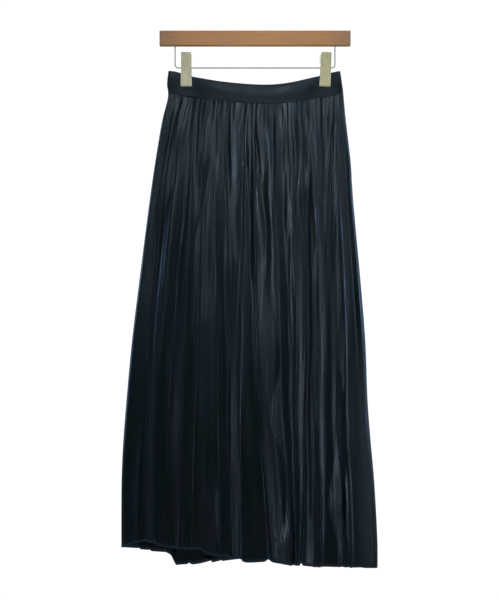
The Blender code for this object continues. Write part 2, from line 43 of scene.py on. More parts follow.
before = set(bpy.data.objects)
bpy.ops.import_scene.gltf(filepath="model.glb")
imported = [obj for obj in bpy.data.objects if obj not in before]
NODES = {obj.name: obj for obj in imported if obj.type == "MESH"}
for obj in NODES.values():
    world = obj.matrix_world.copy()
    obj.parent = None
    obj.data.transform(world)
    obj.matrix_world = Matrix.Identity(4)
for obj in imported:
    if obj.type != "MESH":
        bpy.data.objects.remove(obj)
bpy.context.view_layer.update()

# ---------------------------------------------------------------- the skirt's form in tables


def table(kind, *rows):
    """Rows that have the named columns of their kind."""
    return tuple(kind(*row) for row in rows)


# The skirt's side outline as it hangs: height, left edge and right edge.
Outline = namedtuple("Outline", "z left right")
OUTLINE = table(
    Outline,
    (-0.074, -0.1603, 0.1577),
    (-0.098, -0.1629, 0.1612),
    (-0.113, -0.1610, 0.1633),
    (-0.128, -0.1622, 0.1647),
    (-0.165, -0.1716, 0.1683),
    (-0.239, -0.1842, 0.1768),
    (-0.313, -0.1949, 0.1818),
    (-0.461, -0.2139, 0.1951),
    (-0.572, -0.2275, 0.2040),
    (-0.683, -0.2378, 0.2083),
    (-0.757, -0.2436, 0.2138),
    (-0.831, -0.2469, 0.2204),
    (-0.942, -0.2474, 0.2265),
    (-0.994, -0.2472, 0.2269),
)

# How far the cloth stands from the middle plane, at the middle and at the side folds.
Depth = namedtuple("Depth", "z middle side")
DEPTHS = table(
    Depth,
    (-0.074, 0.0052, 0.0034),
    (-0.100, 0.0074, 0.0038),
    (-0.135, 0.0120, 0.0044),
    (-0.200, 0.0160, 0.0052),
    (-0.350, 0.0205, 0.0062),
    (-0.600, 0.0250, 0.0075),
    (-0.850, 0.0280, 0.0085),
    (-0.994, 0.0290, 0.0090),
)

# The waistband sags between the clips: place across, top edge and lower edge.
BandEdge = namedtuple("BandEdge", "x top bottom")
BAND_EDGES = table(
    BandEdge,
    (-0.163, -0.0738, -0.1125),
    (-0.156, -0.0742, -0.1150),
    (-0.148, -0.0752, -0.1172),
    (-0.139, -0.0775, -0.1190),
    (-0.128, -0.0810, -0.1209),
    (-0.113, -0.0851, -0.1232),
    (-0.060, -0.0945, -0.1303),
    (0.015, -0.1003, -0.1354),
    (0.062, -0.0967, -0.1322),
    (0.116, -0.0840, -0.1241),
    (0.132, -0.0796, -0.1214),
    (0.142, -0.0771, -0.1194),
    (0.151, -0.0751, -0.1170),
    (0.158, -0.0741, -0.1146),
    (0.164, -0.0735, -0.1120),
)

# The main folds, ridge and valley by turns: the pleat that each starts at, its place across at
# knee height and at the hem as a share of the width, and how far it stands out, in metres.
Fold = namedtuple("Fold", "pleat knee hem waist_out knee_out hem_out")
FRONT_FOLDS = table(
    Fold,
    (0.0, 0.000, 0.000, 0.0000, 0.0000, 0.0000),
    (1.6, 0.078, 0.092, -0.0006, -0.0010, -0.0012),
    (3.4, 0.128, 0.150, 0.0012, 0.0020, 0.0016),
    (5.8, 0.172, 0.205, -0.0010, -0.0018, -0.0022),
    (7.7, 0.219, 0.252, 0.0010, 0.0024, 0.0016),
    (9.5, 0.284, 0.298, -0.0010, -0.0020, -0.0024),
    (10.9, 0.353, 0.373, 0.0010, 0.0018, 0.0022),
    (12.4, 0.409, 0.419, -0.0010, -0.0016, -0.0016),
    (14.5, 0.461, 0.494, 0.0018, 0.0022, 0.0030),
    (16.4, 0.513, 0.579, -0.0022, -0.0052, -0.0052),
    (20.1, 0.612, 0.640, 0.0018, 0.0040, 0.0046),
    (23.1, 0.660, 0.668, -0.0004, 0.0008, 0.0012),
    (25.8, 0.699, 0.689, 0.0014, 0.0030, 0.0020),
    (28.2, 0.751, 0.711, -0.0024, -0.0056, -0.0050),
    (30.4, 0.794, 0.760, 0.0014, 0.0040, 0.0036),
    (32.3, 0.845, 0.800, -0.0012, -0.0044, -0.0034),
    (33.8, 0.905, 0.875, 0.0010, 0.0030, 0.0030),
    (35.0, 0.955, 0.935, 0.0000, -0.0012, -0.0014),
    (36.0, 1.000, 1.000, 0.0000, 0.0000, 0.0000),
)
BACK_FOLDS = table(
    Fold,
    (0.0, 0.000, 0.000, 0.0000, 0.0000, 0.0000),
    (1.8, 0.060, 0.066, 0.0006, 0.0012, 0.0016),
    (4.2, 0.126, 0.118, -0.0010, -0.0026, -0.0032),
    (6.8, 0.196, 0.204, 0.0012, 0.0036, 0.0040),
    (9.2, 0.262, 0.268, -0.0010, -0.0030, -0.0032),
    (11.6, 0.330, 0.340, 0.0010, 0.0024, 0.0040),
    (14.2, 0.392, 0.396, -0.0014, -0.0036, -0.0044),
    (17.0, 0.470, 0.468, 0.0012, 0.0036, 0.0042),
    (19.6, 0.540, 0.556, -0.0010, -0.0026, -0.0038),
    (22.6, 0.618, 0.624, 0.0014, 0.0040, 0.0044),
    (25.2, 0.698, 0.690, -0.0014, -0.0042, -0.0046),
    (27.8, 0.766, 0.772, 0.0010, 0.0034, 0.0036),
    (30.4, 0.838, 0.832, -0.0008, -0.0030, -0.0036),
    (33.2, 0.918, 0.926, 0.0006, 0.0018, 0.0022),
    (36.0, 1.000, 1.000, 0.0000, 0.0000, 0.0000),
)

# The creases that run from the waistband to the hem: the pleat that each is the crest of, its place
# across at knee height and at the hem as a share of the width, and how sharp it is high and low.
Crease = namedtuple("Crease", "pleat knee hem high low")
FRONT_CREASES = table(
    Crease,
    (0, 0.000, 0.000, 0.0, 0.0),
    (1, 0.065, 0.062, 0.9, 0.6),
    (4, 0.116, 0.142, 1.1, 0.4),
    (5, 0.168, 0.176, 0.4, 0.6),
    (6, 0.224, 0.226, 0.8, 0.5),
    (8, 0.276, 0.270, 1.2, 0.7),
    (10, 0.358, 0.382, 0.8, 0.7),
    (12, 0.409, 0.422, 1.7, 0.9),
    (16, 0.466, 0.472, 1.5, 1.0),
    (18, 0.534, 0.570, 1.2, 0.8),
    (21, 0.629, 0.658, 1.3, 0.4),
    (25, 0.703, 0.676, 1.2, 0.5),
    (27, 0.741, 0.702, 1.4, 0.3),
    (29, 0.772, 0.748, 0.5, 0.4),
    (30, 0.804, 0.772, 1.2, 0.8),
    (33, 0.876, 0.860, 0.7, 0.4),
    (34, 0.914, 0.892, 1.0, 0.5),
    (35, 0.956, 0.948, 0.5, 0.0),
    (36, 1.000, 1.000, 0.0, 0.0),
)
BACK_CREASES = table(
    Crease,
    (0, 0.000, 0.000, 0.0, 0.0),
    (2, 0.064, 0.070, 0.8, 0.9),
    (4, 0.121, 0.113, 1.1, 1.0),
    (7, 0.201, 0.209, 0.7, 1.1),
    (9, 0.257, 0.263, 1.4, 0.7),
    (12, 0.341, 0.350, 1.0, 1.3),
    (14, 0.387, 0.391, 0.8, 0.6),
    (17, 0.470, 0.468, 1.5, 1.2),
    (20, 0.551, 0.565, 1.1, 1.4),
    (23, 0.629, 0.633, 0.7, 1.0),
    (25, 0.693, 0.685, 1.4, 1.2),
    (28, 0.772, 0.778, 1.0, 1.3),
    (30, 0.828, 0.823, 0.9, 0.6),
    (33, 0.912, 0.920, 1.2, 1.1),
    (36, 1.000, 1.000, 0.0, 0.0),
)

# Where the cloth before a crease turns towards the light in a flat facet: the pleat that is its
# crest, the share of the length where it is widest, the share over which it narrows, and how much
# of the face it takes there.
Facet = namedtuple("Facet", "pleat down reach share")
FRONT_FACETS = table(
    Facet,
    (1, 0.88, 0.10, 0.40),
    (5, 0.60, 0.08, 0.22),
    (10, 0.90, 0.07, 0.16),
    (12, 0.68, 0.08, 0.20),
    (12, 0.14, 0.07, 0.35),
    (16, 0.25, 0.08, 0.40),
    (18, 0.12, 0.06, 0.60),
    (18, 0.34, 0.08, 0.60),
    (21, 0.20, 0.08, 0.80),
    (21, 0.40, 0.08, 0.75),
    (21, 0.68, 0.07, 0.62),
    (21, 0.97, 0.08, 0.58),
    (25, 0.26, 0.10, 0.55),
    (27, 0.20, 0.08, 0.60),
    (29, 0.46, 0.07, 0.70),
    (29, 0.86, 0.07, 0.86),
    (30, 0.62, 0.08, 0.60),
    (33, 0.30, 0.07, 0.40),
    (33, 0.86, 0.08, 0.74),
    (34, 0.56, 0.06, 0.66),
    (34, 0.88, 0.08, 0.86),
)
BACK_FACETS = table(
    Facet,
    (7, 0.82, 0.09, 0.50),
    (12, 0.95, 0.07, 0.55),
    (12, 0.40, 0.08, 0.35),
    (17, 0.62, 0.09, 0.40),
    (20, 0.88, 0.08, 0.60),
    (25, 0.34, 0.08, 0.45),
    (25, 0.74, 0.08, 0.50),
    (28, 0.94, 0.07, 0.60),
)
FACET_SLOPE_HIGH = 0.27  # how steeply a facet leans out, under the band
FACET_SLOPE_LOW = 0.43  # and near the hem
FACET_CORNER = 0.06  # how softly the face bends into a facet
FACET_SUNK = 0.3  # share of a facet's height that lies below the face
FACET_LEAST = 0.02  # a facet that takes less of its face is left out

# Where the hem is notched behind a crease: the crease's pleat, and how high the notch is, in metres.
Notch = namedtuple("Notch", "pleat height")
FRONT_NOTCHES = (Notch(12, 0.0024), Notch(18, 0.0052), Notch(27, 0.0056), Notch(33, 0.0022))
BACK_NOTCHES = (Notch(9, 0.0030), Notch(20, 0.0046), Notch(28, 0.0036))

WAIST_Z = -0.1277
KNEE_Z = -0.5346
HEM_Z = -0.9600

# The hem's height across the skirt.
Hem = namedtuple("Hem", "x z")
FRONT_HEM = table(
    Hem,
    (-0.2474, -0.9555),
    (-0.2310, -0.9490),
    (-0.2050, -0.9410),
    (-0.1780, -0.9485),
    (-0.1530, -0.9540),
    (-0.1020, -0.9560),
    (-0.0890, -0.9640),
    (-0.0310, -0.9715),
    (-0.0170, -0.9780),
    (0.0200, -0.9785),
    (0.0650, -0.9830),
    (0.1020, -0.9870),
    (0.1760, -0.9890),
    (0.2269, -0.9925),
)
BACK_HEM = table(
    Hem,
    (-0.2474, -0.9555),
    (-0.2130, -0.9604),
    (-0.1660, -0.9676),
    (-0.1565, -0.9740),
    (-0.1490, -0.9915),
    (-0.1020, -0.9890),
    (-0.0540, -0.9830),
    (0.0000, -0.9810),
    (0.0830, -0.9840),
    (0.1750, -0.9890),
    (0.2269, -0.9925),
)

Clip = namedtuple("Clip", "name x")
CLIPS = (Clip("left", -0.1271), Clip("right", 0.1307))

# The front and the back: names, tables, the way each faces, and a number of its own for its noise.
Side = namedtuple("Side", "piece node folds creases facets notches hem facing salt")
FRONT_TABLES = (FRONT_FOLDS, FRONT_CREASES, FRONT_FACETS, FRONT_NOTCHES, FRONT_HEM)
FRONT = Side("front_velour", "front_panel", *FRONT_TABLES, -1.0, 1)
BACK_TABLES = (BACK_FOLDS, BACK_CREASES, BACK_FACETS, BACK_NOTCHES, BACK_HEM)
BACK = Side("back_velour", "back_panel", *BACK_TABLES, 1.0, 11)

# Where the points of one pleat lie. across runs from its crest (0) to the next crest (1), with the
# tucked part behind the crest, and out from the valley (0) to the crest (1).
PleatPoint = namedtuple("PleatPoint", "across out")
KNIFE_PLEAT = table(
    PleatPoint,
    (0.000, 1.00),
    (0.090, 0.93),
    (0.120, 0.60),
    (0.080, 0.18),
    (0.140, 0.00),
    (0.280, 0.14),
    (0.440, 0.36),
    (0.620, 0.62),
    (0.810, 0.86),
)
PLEAT_TURN = KNIFE_PLEAT[:5]  # the tucked part
TURN_END = PLEAT_TURN[-1].across

# ---------------------------------------------------------------- sizes and colours


def length(name, description, default):
    return bpy.props.FloatProperty(
        name=name, description=description, default=default, unit="LENGTH", precision=4
    )


def fraction(name, description, default):
    return bpy.props.FloatProperty(
        name=name, description=description, default=default, min=0.0, max=1.0, subtype="FACTOR"
    )


def colour(name, description, default):
    return bpy.props.FloatVectorProperty(
        name=name, description=description, default=default, size=3, min=0.0, max=1.0, subtype="COLOR"
    )


class ClothSizes(bpy.types.PropertyGroup):
    pleats: bpy.props.IntProperty(
        name="Pleats", description="Pleats on the front, and again on the back", default=36
    )
    rows: bpy.props.IntProperty(
        name="Rows", description="Rows of points from the waistband to the hem", default=145
    )
    wall: length("Cloth", "Thickness of the pleated cloth", 0.0010)
    band_wall: length("Band", "Thickness of the doubled waistband", 0.0020)
    band_puff: length("Band puff", "How far the band swells between its two edges", 0.0017)
    band_lip: length("Band lip", "How far the band's upper edge leans back", 0.0005)
    seam_gap: length("Seam gap", "Space left between two sewn pieces", 0.0001)
    depth_at_waist: length("Pleats at the waist", "From crest to valley under the band", 0.0010)
    depth_at_hem: length("Pleats at the hem", "From crest to valley at the hem", 0.0036)
    full_pitch: length("Full pleat", "Width over which a pleat keeps its whole depth", 0.0090)
    gathers: length("Gathers", "Height of the small gathers under the band", 0.0013)
    gathers_reach: fraction("Gathers' reach", "How far down the gathers last, of the length", 0.11)
    crease_at_waist: length("Crease at the waist", "Step of a main crease under the band", 0.0014)
    crease_at_hem: length("Crease at the hem", "Step of a main crease at the hem", 0.0038)
    pressed_out: fraction("Pressed out", "What is left of a pleat between two main creases", 0.07)
    creases: length("Ripples", "Height of the ripples that wander down the cloth", 0.0014)
    valleys: length("Valleys", "Depth of the lines in which the main folds close", 0.0014)
    valley_width: bpy.props.FloatProperty(
        name="Valley width", description="Half width of such a line, in pleats", default=0.40
    )
    dents: length("Dents", "Height of the soft dents in the hanging cloth", 0.0008)
    hem_uneven: length("Uneven hem", "How far the hem rises along a wide face", 0.0046)


class ClothColours(bpy.types.PropertyGroup):
    navy: colour("Navy", "The velour where it is in full colour", (0.0014, 0.0052, 0.0055))
    shade: colour("Deep navy", "The velour where its pile lies away", (0.0006, 0.0022, 0.0024))
    worn: colour("Crease", "The velour along pressed creases", (0.0044, 0.0104, 0.0120))
    gloss: colour("Gloss", "Colour of the velour's satin gloss", (0.61, 0.79, 1.0))
    sheen: colour("Sheen", "Colour of the pile's own sheen", (0.45, 0.60, 0.85))


class HangerSizes(bpy.types.PropertyGroup):
    bar_length: length("Bar length", "The wooden bar from end to end", 0.353)


class HangerColours(bpy.types.PropertyGroup):
    wood: colour("Wood", "The bar's middle tone", (0.600, 0.262, 0.068))
    wood_dark: colour("Wood grain", "The bar's darker grain", (0.400, 0.180, 0.062))
    # painted shade: the greyer, darker colour painted on both ends of the bar
    shaded_wood_ends: colour("Wood ends", "The bar's greyer ends", (0.270, 0.160, 0.100))
    plastic: colour("Clips", "The clips' ivory plastic", (0.700, 0.660, 0.470))
    right_clip_tone: colour("Right clip tone", "What the yellower clip keeps of that colour", (0.880, 0.880, 0.740))
    steel: colour("Wire", "The bright wire", (0.360, 0.360, 0.350))


# ---------------------------------------------------------------- curves through tables


def eased(t):
    """0 to 1, slow at both ends."""
    t = min(1.0, max(0.0, t))
    return t * t * (3.0 - 2.0 * t)


def eased_between(first, last, t):
    """From first to last as t goes from 0 to 1, slow at both ends."""
    return first + (last - first) * eased(t)


def straight_through(at, places, values):
    """The value at a place on straight lines between the rows of a table."""
    if at <= places[0]:
        return values[0]
    for i in range(1, len(places)):
        if at <= places[i]:
            part = (at - places[i - 1]) / (places[i] - places[i - 1])
            return values[i - 1] + part * (values[i] - values[i - 1])
    return values[-1]


def smooth_through(at, places, values):
    """The value at a place on a smooth curve through the rows of a table."""
    if at <= places[0]:
        return values[0]
    if at >= places[-1]:
        return values[-1]
    i = max(n for n in range(len(places) - 1) if places[n] <= at)

    def slope(n):
        low, high = max(0, n - 1), min(len(places) - 1, n + 1)
        return (values[high] - values[low]) / (places[high] - places[low])

    width = places[i + 1] - places[i]
    t = (at - places[i]) / width
    rise = 3.0 * t * t - 2.0 * t**3
    return (
        values[i] * (1.0 - rise)
        + values[i + 1] * rise
        + width * slope(i) * (t**3 - 2.0 * t * t + t)
        + width * slope(i + 1) * (t**3 - t * t)
    )


def column(rows, name, turn=1.0):
    """One named column of a table, times turn."""
    return [getattr(row, name) * turn for row in rows]


OUTLINE_DOWN = column(OUTLINE, "z", -1.0)
OUTLINE_LEFT = column(OUTLINE, "left")
OUTLINE_RIGHT = column(OUTLINE, "right")
DEPTH_DOWN = column(DEPTHS, "z", -1.0)
DEPTH_MIDDLE = column(DEPTHS, "middle")
DEPTH_SIDE = column(DEPTHS, "side")
BAND_X = column(BAND_EDGES, "x")
BAND_TOP = column(BAND_EDGES, "top")
BAND_BOTTOM = column(BAND_EDGES, "bottom")
BULGE_POWER = 2.6
PINCH = 0.74  # share of the skirt's depth that a clip takes away
PINCH_REACH = 0.030
PINCH_FADES = (-0.105, -0.200)  # heights between which a clip's pinch dies away
SETTLING_TRIES = 4


def settled(height_from, start):
    """A height that depends on itself a little, found by trying it a few times."""
    height = start
    for _ in range(SETTLING_TRIES):
        height = height_from(height)
    return height


def edges_at(z):
    """The skirt's left and right edge at a height."""
    return (
        smooth_through(-z, OUTLINE_DOWN, OUTLINE_LEFT),
        smooth_through(-z, OUTLINE_DOWN, OUTLINE_RIGHT),
    )


def band_top(x):
    return smooth_through(x, BAND_X, BAND_TOP)


def band_bottom(x):
    return smooth_through(x, BAND_X, BAND_BOTTOM)


def side_radius(z):
    return smooth_through(-z, DEPTH_DOWN, DEPTH_SIDE)


def pinch_at(x, z):
    """The share of the depth that the clips take away."""
    high, low = PINCH_FADES
    fade = 1.0 - eased((high - z) / (high - low))
    return sum(PINCH * fade * math.exp(-(((x - clip.x) / PINCH_REACH) ** 2)) for clip in CLIPS)


def stand_off(x, z):
    """How far the cloth's mean surface is from the middle plane, clear of the side folds."""
    left, right = edges_at(z)
    across = (2.0 * x - left - right) / (right - left)
    bulge = 1.0 - min(1.0, abs(across)) ** BULGE_POWER
    side = side_radius(z)
    middle = smooth_through(-z, DEPTH_DOWN, DEPTH_MIDDLE)
    return (side + (middle - side) * bulge) * (1.0 - pinch_at(x, z))


def scatter(number, salt):
    """An uneven but fixed value from -1 to 1 for a numbered thing."""
    wave = math.sin(number * 12.9898 + salt * 78.233) * 43758.5453
    return 2.0 * (wave - math.floor(wave)) - 1.0


def through_heights(z, waist, knee, hem):
    """A value that is given at the waist, the knee and the hem, at any height."""
    v = (WAIST_Z - z) / (WAIST_Z - HEM_Z)
    k = (WAIST_Z - KNEE_Z) / (WAIST_Z - HEM_Z)
    at_waist = waist * (v - k) * (v - 1.0) / k
    at_knee = knee * v * (v - 1.0) / (k * (k - 1.0))
    at_hem = hem * v * (v - k) / (1.0 - k)
    return at_waist + at_knee + at_hem


def place_across(z, shares):
    """Where a line of the cloth is at a height, from its shares of the width at three heights."""
    left, right = edges_at(z)
    return left + (right - left) * through_heights(z, *shares)


# ---------------------------------------------------------------- the pleated cloth

LINES_PER_PLEAT = 8  # lines of the cloth whose values are worked out once and kept
SIDE_PLEATS = 3.0  # pleats over which the relief dies away towards a side fold
SIDE_TURNS = [turned / 6.0 for turned in range(7)]  # where a side fold has its points
FIRST_ACROSS = 0.3  # where the first pleat's points start, clear of the left side fold
LAST_PLACE = 0.25  # how near a pleat's point comes to the right side fold, in pleats
MERGE_REACH = 0.07  # share of the length in which the small pleats merge into wide faces
SEAM_REACH = 0.012  # share of the length in which the relief grows from the band's seam
FULL_TURN = 0.0016  # the step from which a crest is folded as fully as a pleat, in metres
NOTCH_BEHIND = 0.06  # from a crease to the notch behind it, in pleats
NOTCH_WIDTH = 0.22
VALLEY_REACH = 3.0  # widths from a valley beyond which it isn't felt
ROW_POWER = 1.2  # over 1, rows are closer under the waistband
UNDER_BAND_ROW = 2


class Panel:
    """The front or the back of the skirt: its folds, its pleats and its hem."""

    def __init__(self, side, sizes):
        self.facing = side.facing
        self.salt = side.salt
        self.sizes = sizes
        self.facets = side.facets
        self.notches = side.notches
        self.pleats = sizes.pleats
        self.crests, self.knee, self.hem, self.high, self.low = (
            column(side.creases, name) for name in ("pleat", "knee", "hem", "high", "low")
        )
        self.folds_at = [column(side.folds, name) for name in ("pleat", "knee", "hem")]
        self.outs = [column(side.folds, name) for name in ("waist_out", "knee_out", "hem_out")]
        self.hem_x = column(side.hem, "x")
        self.hem_z = column(side.hem, "z")
        self.closed = [fold.pleat for fold in side.folds if fold.waist_out < 0.0]
        self.face = [
            max(n for n in range(len(self.crests) - 1) if self.crests[n] <= number)
            for number in range(sizes.pleats)
        ]
        self.lines = [self.line(n / LINES_PER_PLEAT) for n in range(sizes.pleats * LINES_PER_PLEAT + 2)]

    def line(self, place):
        """What doesn't change down a line of the cloth: its shares across, how it stands out, and
        the heights of its two ends."""
        shares = (
            place / self.pleats,
            smooth_through(place, self.crests, self.knee),
            smooth_through(place, self.crests, self.hem),
        )
        folded = (place, shares[1], shares[2])
        outs = (smooth_through(*each) for each in zip(folded, self.folds_at, self.outs))
        return (*shares, *outs, *self.ends(lambda z: place_across(z, shares)))

    def ends(self, x_at):
        """The heights at which a line of the cloth starts and ends; x_at is its place at a height."""
        top = settled(lambda z: band_bottom(x_at(z)) - self.sizes.seam_gap, WAIST_Z)
        end = settled(lambda z: straight_through(x_at(z), self.hem_x, self.hem_z), HEM_Z)
        return top, end

    def roughness(self, across, down, part):
        """Smooth noise from about -1 to 1; each use has a part of its own."""
        return noise.noise(Vector((across, down, self.salt + part)))

    def at(self, place):
        """The line's values at any place, between the two lines beside it."""
        spot = max(0.0, place) * LINES_PER_PLEAT
        n = min(len(self.lines) - 2, int(spot))
        part = spot - n
        return [a + (b - a) * part for a, b in zip(self.lines[n], self.lines[n + 1])]

    def near_side(self, number):
        """Pleats close up towards the side folds: 1 clear of them and 0 on them."""
        return max(0.0, min(1.0, min(number, self.pleats - number) / SIDE_PLEATS))

    def looseness(self, number, down):
        """How deep a pleat is there, beside its usual depth: some are nearly pressed out."""
        turns = 0.9 + 0.4 * scatter(number, self.salt + 5)
        start = scatter(number, self.salt + 6)
        swell = math.sin(2.0 * math.pi * (turns * down + start))
        crowded = self.pitch(number, down) / self.sizes.full_pitch
        held = 0.55 + 0.55 * scatter(number, self.salt) + 0.55 * swell
        return max(0.06, min(1.6, held)) * min(1.0, crowded * crowded)

    def pitch(self, number, down):
        """The width of a pleat there, in metres."""
        return self.width(number, number + 1, down)

    def width(self, number, after, down):
        """From one line of the cloth to another there, in metres."""
        places = (self.at(number)[:3], self.at(after)[:3])
        z = WAIST_Z + (HEM_Z - WAIST_Z) * down
        left, right = edges_at(z)
        near, far = (through_heights(z, *place) for place in places)
        return (right - left) * (far - near)

    def bow(self, n, down):
        """Bends the face before the next crease: under 1 it swells outwards, over 1 it sinks."""
        number = self.crests[n]
        bent = self.roughness(number * 0.9, down * 3.6 + number * 0.61, 70.0)
        return 2.0 ** (1.6 * bent + 0.7)

    def facet(self, n, down):
        """The share of its face that the facet before the n-th crease takes there, and how far it
        stands out."""
        taken = sum(
            facet.share * math.exp(-(((down - facet.down) / facet.reach) ** 2))
            for facet in self.facets
            if facet.pleat == self.crests[n]
        )
        if taken < FACET_LEAST:
            return FACET_LEAST, 0.0
        before, crest = self.crests[n - 1], self.crests[n]
        near, far = self.mean(crest - taken * (crest - before), down), self.mean(crest, down)
        slope = eased_between(FACET_SLOPE_HIGH, FACET_SLOPE_LOW, 4.0 * down - 1.6)
        return taken, max(0.0, slope * (far.x - near.x) - (far.y - near.y))

    def mean(self, place, down):
        """A point on the main folds alone; y is how far it is from the middle plane."""
        *shares_and_outs, top, end = self.at(place)
        z = top + (end - top) * down
        x = place_across(z, shares_and_outs[:3])
        return Vector((x, stand_off(x, z) + through_heights(z, *shares_and_outs[3:]), z))

    def step(self, n, down):
        """How far the cloth steps back behind the n-th main crease."""
        full = eased_between(self.sizes.crease_at_waist, self.sizes.crease_at_hem, down)
        swell = 1.0 + 1.5 * self.roughness(n * 1.7, down * 4.5 + n * 0.37, 100.0)
        sharp = eased_between(self.high[n], self.low[n], 1.8 * down - 0.4)
        return full * sharp * max(0.15, swell)

    def face_out(self, number, point, place, steps, bow, facets):
        """How far a point stands out on the wide face between two main creases, which rises from
        behind one crease to the crest of the next."""
        n = self.face[number]
        low, high = self.crests[n], self.crests[n + 1]
        sunk, stood = facets[n][1], facets[n + 1][1]
        if number == low and point in PLEAT_TURN:
            return steps[n] * (point.out - 0.5) + sunk * (point.out - FACET_SUNK)
        t = min(1.0, max(0.0, (place - low - TURN_END) / (high - low - TURN_END)))
        wide = (steps[n] * (1.0 - t) + steps[n + 1] * t) * (t**bow - 0.5)
        risen = 1.0 - (1.0 - t) / facets[n + 1][0]
        risen = 0.5 * (risen + 1.0 + math.hypot(risen, FACET_CORNER) - math.hypot(1.0, FACET_CORNER))
        return wide + stood * (risen - FACET_SUNK * t) - sunk * FACET_SUNK * (1.0 - t)

    def depth(self, number, down):
        """From a pleat's crest to its valley."""
        full = eased_between(self.sizes.depth_at_waist, self.sizes.depth_at_hem, down)
        return full * self.near_side(number) * self.looseness(number, down)

    def wander(self, number, down):
        """How far a pleat's line strays sideways, as a share of the pitch."""
        turns = 0.8 + 0.3 * scatter(number, self.salt + 1)
        start = scatter(number, self.salt + 2)
        strays = 0.12 * math.sin(2.0 * math.pi * (turns * down + start))
        uneven = 0.20 * scatter(number, self.salt + 4)
        held = 0.3 if number in self.crests else 1.0
        return (uneven + strays * eased(down * 4.0)) * held * self.near_side(number)

    def hem_drop(self, place):
        """The hem rises along each wide face and drops at the crease that ends it."""
        number = min(self.pleats - 1, max(0, int(place)))
        n = self.face[number]
        low, high = self.crests[n], self.crests[n + 1]
        t = min(1.0, max(0.0, (place - low) / (high - low)))
        rise = self.sizes.hem_uneven * (t - 0.5) * (0.4 + 0.5 * scatter(n, self.salt + 7))
        for notch in self.notches:
            away = (place - notch.pleat - NOTCH_BEHIND) / NOTCH_WIDTH
            rise += notch.height * math.exp(-(away**2))
        return rise * self.near_side(place)

    def small_relief(self, place, down):
        """Gathers under the band, creases that wander and run together, and soft dents."""
        sizes = self.sizes
        fade = math.exp(-down / sizes.gathers_reach)
        drift = 1.1 * self.roughness(place * 0.4, down * 2.0, 0.0)
        ripple = math.sin(2.0 * math.pi * (0.75 * place + drift))
        size = 0.9 + 1.3 * self.roughness(place * 0.8, down * 3.0, 30.0)
        gathers = sizes.gathers * fade * ripple * size
        along = 3.2 * down**0.6 + 1.6 * self.roughness(place * 0.31, 0.5, 110.0)
        bend = 0.7 * self.roughness(place * 0.22, along, 60.0)
        along += 0.23 * place
        broad = math.hypot(0.04, self.roughness(place * 0.42 + bend, along, 20.0))
        narrow = abs(self.roughness(place * 1.05 - bend, 1.8 * along, 40.0))
        crowded = min(1.0, self.pitch(place, down) / sizes.full_pitch) ** 4
        high = 0.34 + 1.96 * (1.0 - eased(1.75 * down))
        creases = sizes.creases * high * crowded * (2.9 * broad + 0.08 * narrow**0.8 - 0.8)
        dents = sizes.dents * crowded * self.roughness(place * 0.5, down * 9.0, 80.0)
        settled_in = 0.35 + 0.65 * eased(down * 9.0)
        return gathers + (creases + dents) * settled_in - self.valleys(place, down)

    def valleys(self, place, down):
        """The main folds' valleys close to narrow dark lines."""
        deep = 0.0
        width = self.sizes.valley_width * (1.0 + 0.7 * math.exp(-down / 0.10))
        for valley in self.closed:
            away = (place - valley) / width
            if abs(away) < VALLEY_REACH:
                deep += math.exp(-away * away)
        held = 0.55 + 0.45 * self.roughness(place * 0.3, down * 3.0, 90.0)
        return self.sizes.valleys * deep * max(0.25, held)

    def row(self, down):
        """The middle of the cloth at one share of its length, from the left fold to the right."""
        points = [self.side_point(0, turned, down) for turned in SIDE_TURNS]
        steps = [self.step(n, down) for n in range(len(self.crests))]
        bows = [self.bow(n, down) for n in range(len(self.crests))]
        facets = [self.facet(n, down) for n in range(len(self.crests))]
        merged = 0.35 + 0.65 * eased(down / MERGE_REACH)
        for number in range(self.pleats):
            now, after = self.wander(number, down), self.wander(number + 1, down)
            deep = self.depth(number, down)
            deep_after = self.depth(number + 1, down)
            own = 1.0 - merged * (1.0 - self.sizes.pressed_out)
            folded = own
            if number in self.crests:
                height = steps[self.face[number]] + facets[self.face[number]][1]
                folded += (1.0 - own) * min(1.0, height / FULL_TURN)
            for i, point in enumerate(KNIFE_PLEAT):
                if number == 0 and point.across < FIRST_ACROSS:
                    continue
                even = i / len(KNIFE_PLEAT)
                across = even + (point.across - even) * folded
                t = max(0.0, across)
                place = number + now + (1.0 + after - now) * across
                place = min(self.pleats - LAST_PLACE, place)
                small = (deep * (1.0 - t) + deep_after * t) * (point.out - 0.5)
                wide = self.face_out(number, point, number + t, steps, bows[self.face[number]], facets)
                out = small * own + wide * merged
                points.append(self.cloth_point(place, out, down))
        points += [self.side_point(1, turned, down) for turned in reversed(SIDE_TURNS)]
        return points

    def cloth_point(self, place, out, down):
        *shares_and_outs, top, end = self.at(place)
        z = top + (end + self.hem_drop(place) - top) * down
        x = place_across(z, shares_and_outs[:3])
        out += self.small_relief(place, down) * self.near_side(place)
        out = out * (0.45 + 0.55 * eased(down / SEAM_REACH))
        out += through_heights(z, *shares_and_outs[3:])
        return Vector((x, self.facing * (stand_off(x, z) + out), z))

    def side_point(self, side, turned, down):
        """A point on a rounded side fold; turned goes from 0 at the seam to 1 where it ends."""
        angle = turned * math.pi / 2.0
        wall = self.sizes.wall

        def radius(z):
            return side_radius(z) - wall / 2.0

        def place_at(z):
            inwards = wall / 2.0 + radius(z) * (1.0 - math.cos(angle))
            return edges_at(z)[side] + (inwards if side == 0 else -inwards)

        top, end = self.ends(place_at)
        z = top + (end - top) * down
        y = max(self.sizes.seam_gap / 2.0, radius(z) * math.sin(angle))
        return Vector((place_at(z), self.facing * y, z))


def deselect_all():
    """Nothing is selected and no mode is on."""
    if bpy.context.object and bpy.context.object.mode != "OBJECT":
        bpy.ops.object.mode_set(mode="OBJECT")
    bpy.ops.object.select_all(action="DESELECT")


def make_active(made):
    """The piece alone is selected, and the operators work on it."""
    deselect_all()
    made.select_set(True)
    bpy.context.view_layer.objects.active = made


